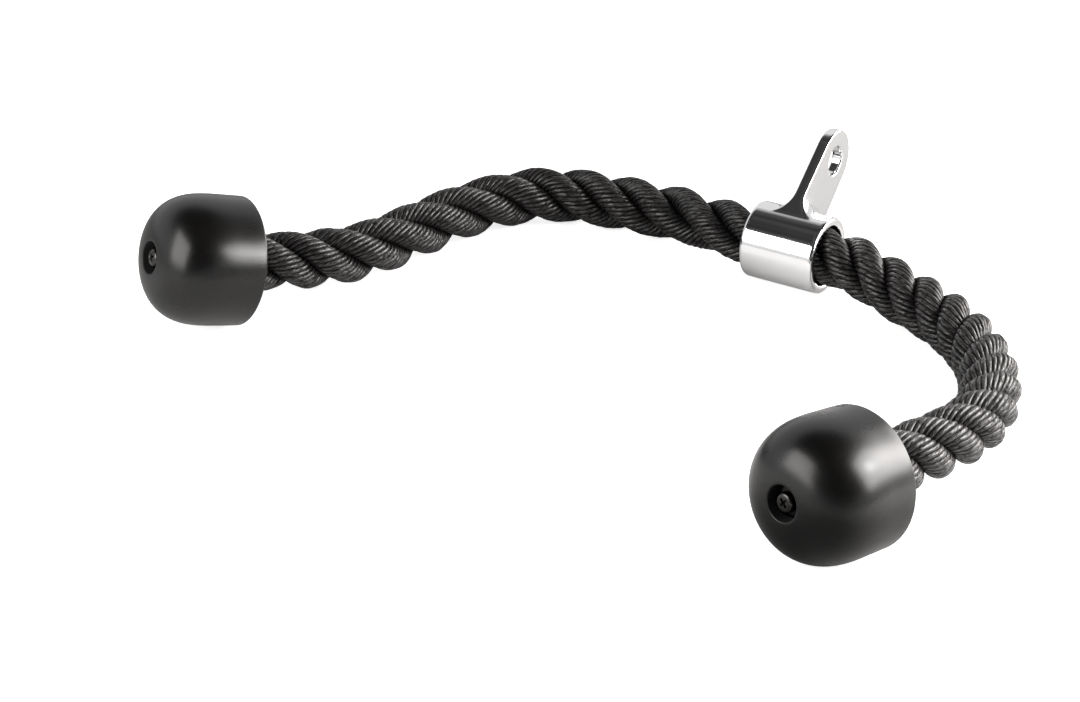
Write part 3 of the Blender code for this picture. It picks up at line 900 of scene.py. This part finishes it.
def collarBody(shape):
    half = shape["length"] / 2
    outer, inner = shape["outerRound"], shape["innerRound"]
    top, bore = shape["radius"] - outer, shape["boreRadius"] + inner
    profile = (arcOf((half - outer, top), outer, 90, 0, 8)
               + arcOf((half - inner, bore), inner, 0, -90, 8)
               + arcOf((inner - half, bore), inner, 270, 180, 8)
               + arcOf((outer - half, top), outer, 180, 90, 8))
    return looseObject("collarBody", spinProfile(profile, 144))


def tabHalf(shape, across, along, base):
    # half the tab's thickness: it swells into the collar and rounds off at the outline
    foot = math.hypot(across, along) - shape["radius"]
    half = shape["thickness"] / 2
    fillet = shape["footFillet"]
    if foot < fillet:
        drop = fillet - max(foot, 0.0)
        half += fillet - math.sqrt(fillet ** 2 - drop ** 2)
    end = shape["endRadius"]
    slope = math.asin((base - end) / shape["eyeDistance"])
    rise = along - shape["eyeDistance"]
    if rise > abs(across) * math.tan(slope):
        inset = end - math.hypot(across, rise)
    else:
        inset = base - abs(across) * math.cos(slope) - along * math.sin(slope)
    edge = shape["edgeRound"]
    if inset < edge:
        short = edge - max(inset, 0.0)
        half -= edge - math.sqrt(edge ** 2 - short ** 2)
    return half


def tabBody(shape):
    # a flat grid drawn over the span from the collar to round the eye gives one face, its
    # mirror image the other, and a rim joins them
    base = (shape["boreRadius"] + shape["radius"]) / 2
    widest = math.pi / 2 - math.asin((base - shape["endRadius"]) / shape["eyeDistance"])
    lean = math.radians(shape["lean"])
    bm = bmesh.new()
    bmesh.ops.create_grid(bm, x_segments=56, y_segments=110, size=1.0)
    for vert in bm.verts:
        share = math.sin(vert.co.x * math.pi / 2)
        up = math.sin((vert.co.y + 1) * math.pi / 4)
        radius = base + (shape["endRadius"] - base) * up
        across = radius * math.sin(share * widest)
        along = radius * math.cos(share * widest) + shape["eyeDistance"] * up
        vert.co = (tabHalf(shape, across, along, base),
                   along * math.sin(lean) + across * math.cos(lean),
                   along * math.cos(lean) - across * math.sin(lean))
    front = bm.faces[:]
    made = bmesh.ops.duplicate(bm, geom=bm.verts[:] + bm.edges[:] + front)["geom"]
    back = [item for item in made if isinstance(item, bmesh.types.BMVert)]
    bmesh.ops.scale(bm, vec=(-1, 1, 1), verts=back)
    rims = [edge for edge in bm.edges if len(edge.link_faces) == 1]
    bmesh.ops.bridge_loops(bm, edges=rims)
    bmesh.ops.recalc_face_normals(bm, faces=bm.faces)
    return looseObject("tabBody", bm)


def eyeCutter(shape):
    face, edge = shape["thickness"] / 2, shape["eyeRound"]
    rim = shape["eyeRadius"] + edge
    over = face + shape["eyeOver"]
    profile = ([(-over, 0), (-over, rim)]
               + arcOf((edge - face, rim), edge, 180, 270, 6)
               + arcOf((face - edge, rim), edge, -90, 0, 6)
               + [(over, rim), (over, 0)])
    bm = spinProfile(profile, 96, closed=False)
    lean = math.radians(shape["lean"])
    place = Vector((0, math.sin(lean), math.cos(lean))) * shape["eyeDistance"]
    return looseObject("eyeCutter", placeMesh(bm, Matrix.Translation(place)))


def makeCasting(shape):
    body = collarBody(shape)
    cutWith(body, [tabBody(shape)], "UNION")
    cutWith(body, [eyeCutter(shape)])
    remesh = body.modifiers.new("skin", "REMESH")
    remesh.mode = "VOXEL"
    remesh.voxel_size = shape["voxel"]
    remesh.use_smooth_shade = True
    applyModifiers(body)
    bm = takeMesh(body)
    for turn in range(shape["smoothing"]):
        bmesh.ops.smooth_vert(bm, verts=bm.verts, factor=0.5, use_axis_x=True, use_axis_y=True,
                              use_axis_z=True)
    placeMesh(bm, Matrix.Translation(collarCentre))
    piece = addPiece("collarCasting", bm, "collar", chromeMaterial)
    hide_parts("collar_eye")
    print("casting:", len(piece.data.polygons), "faces")


makeCasting(castingShape)


# Floor and light
studio = {
    "floorSize": 12.0,
    "floorSeen": (0.90, 0.90, 0.90),
    "floorFelt": (0.48, 0.48, 0.48),
    "floorGlow": 0.75,
    "floorFrontLit": (0.86, 0.86, 0.86),
    "frontEdge": (-0.10, -0.02),
    "floorShaded": (0.19, 0.19, 0.19),
    "shadedSpot": (0.20, -0.25, 0.0),
    "shadedReach": (0.21, 0.08),
    "wallLight": 0.85,
    "ceilingLight": (0.030, 0.105),
    "ceilingPatches": 2.6,
    "ceilingLean": 65.0,
    "ceilingEdge": (70.0, 57.0),
    "aim": (0.0, 0.0, 0.03),
}
# where each box stands as the camera sees it: to its right, toward it, and up
softBoxes = {
    "softBoxLeft": {"aside": -0.76, "toward": 0.42, "up": 0.45, "wide": 0.64, "tall": 0.60,
                    "radiance": 5.0, "colour": (1.0, 0.98, 0.958)},
    "softBoxRight": {"aside": 0.54, "toward": 0.19, "up": 0.30, "wide": 0.40, "tall": 0.36,
                     "radiance": 10.5, "colour": (1.0, 0.98, 0.962)},
    "barLamp": {"aside": 0.49, "toward": 0.215, "up": 0.29, "wide": 0.07, "tall": 0.07,
                "radiance": 34.0, "colour": (1.0, 0.99, 0.975)},
    "softBoxBack": {"aside": 1.25, "toward": -0.55, "up": 0.44, "wide": 0.94, "tall": 0.78,
                    "radiance": 10.5, "colour": (1.0, 0.965, 0.94)},
}


azimuth = math.radians(cameraSetup["azimuth"])
aside = Vector((math.cos(azimuth), math.sin(azimuth), 0))
toward = Vector((math.sin(azimuth), -math.cos(azimuth), 0))


def makeFloor(setup):
    bm = bmesh.new()
    bmesh.ops.create_grid(bm, x_segments=4, y_segments=4, size=setup["floorSize"] / 2)
    floor = looseObject("paleFloor", bm)
    material, tree, shader = newMaterial("paleFloor")
    place = objectPlace(tree)
    seen = mixColours(tree, noiseNode(tree, place, 3.0), setup["floorSeen"],
                      tuple(c * 1.02 for c in setup["floorSeen"]))
    # white to the eye, greyer to what stands on it, with painted light in front of the collar
    # and a painted shadow in front of the right ball, both seen only in reflections and bounced
    # light
    front = rampNode(tree, vectorNode(tree, "DOT_PRODUCT", place, toward), *setup["frontEdge"])
    shaded = rampNode(tree, vectorNode(tree, "DISTANCE", place, setup["shadedSpot"]),
                      *setup["shadedReach"])
    felt = mixColours(tree, shaded,
                      mixColours(tree, front, setup["floorFelt"], setup["floorFrontLit"]),
                      setup["floorShaded"])
    looks = tree.nodes.new("ShaderNodeLightPath").outputs["Is Camera Ray"]
    tree.links.new(mixColours(tree, looks, felt, seen), shader.inputs["Base Color"])
    shader.inputs["Emission Color"].default_value = (1.0, 1.0, 1.0, 1.0)
    tree.links.new(mathNode(tree, "MULTIPLY", looks, setup["floorGlow"]),
                   shader.inputs["Emission Strength"])
    shader.inputs["Roughness"].default_value = 0.85
    shader.inputs["Specular IOR Level"].default_value = 0.2
    floor.data.materials.append(material)


def makeSoftBox(name, box, aim):
    data = bpy.data.lights.new(name, "AREA")
    data.shape = "RECTANGLE"
    data.size, data.size_y = box["wide"], box["tall"]
    data.energy = box["radiance"] * math.pi * box["wide"] * box["tall"]
    data.color = box["colour"]
    light = bpy.data.objects.new(name, data)
    light.location = aside * box["aside"] + toward * box["toward"] + Vector((0, 0, box["up"]))
    light.rotation_mode = "QUATERNION"
    light.rotation_quaternion = (light.location - Vector(aim)).to_track_quat("Z", "Y")
    scene.collection.objects.link(light)


def makeSky(setup):
    # white walls round a dark, patchy ceiling that comes down on the camera's side
    world = bpy.data.worlds.new("studioSky")
    world.use_nodes = True
    tree = world.node_tree
    ground = tree.nodes["Background"]
    lean = math.radians(setup["ceilingLean"])
    middle = toward * math.cos(lean) + Vector((0, 0, math.sin(lean)))
    way = tree.nodes.new("ShaderNodeTexCoord").outputs["Generated"]
    share = rampNode(tree, vectorNode(tree, "DOT_PRODUCT", way, middle),
                     *(math.cos(math.radians(angle)) for angle in setup["ceilingEdge"]))
    patches = rampNode(tree, noiseNode(tree, way, setup["ceilingPatches"], 1.0), 0.38, 0.62)
    ceiling = mixColours(tree, patches, *((light,) * 3 for light in setup["ceilingLight"]))
    tree.links.new(mixColours(tree, share, (setup["wallLight"],) * 3, ceiling),
                   ground.inputs[0])
    scene.world = world


makeFloor(studio)
for name, box in softBoxes.items():
    makeSoftBox(name, box, studio["aim"])
makeSky(studio)
scene.view_settings.view_transform = "Standard"
print("studio lit")
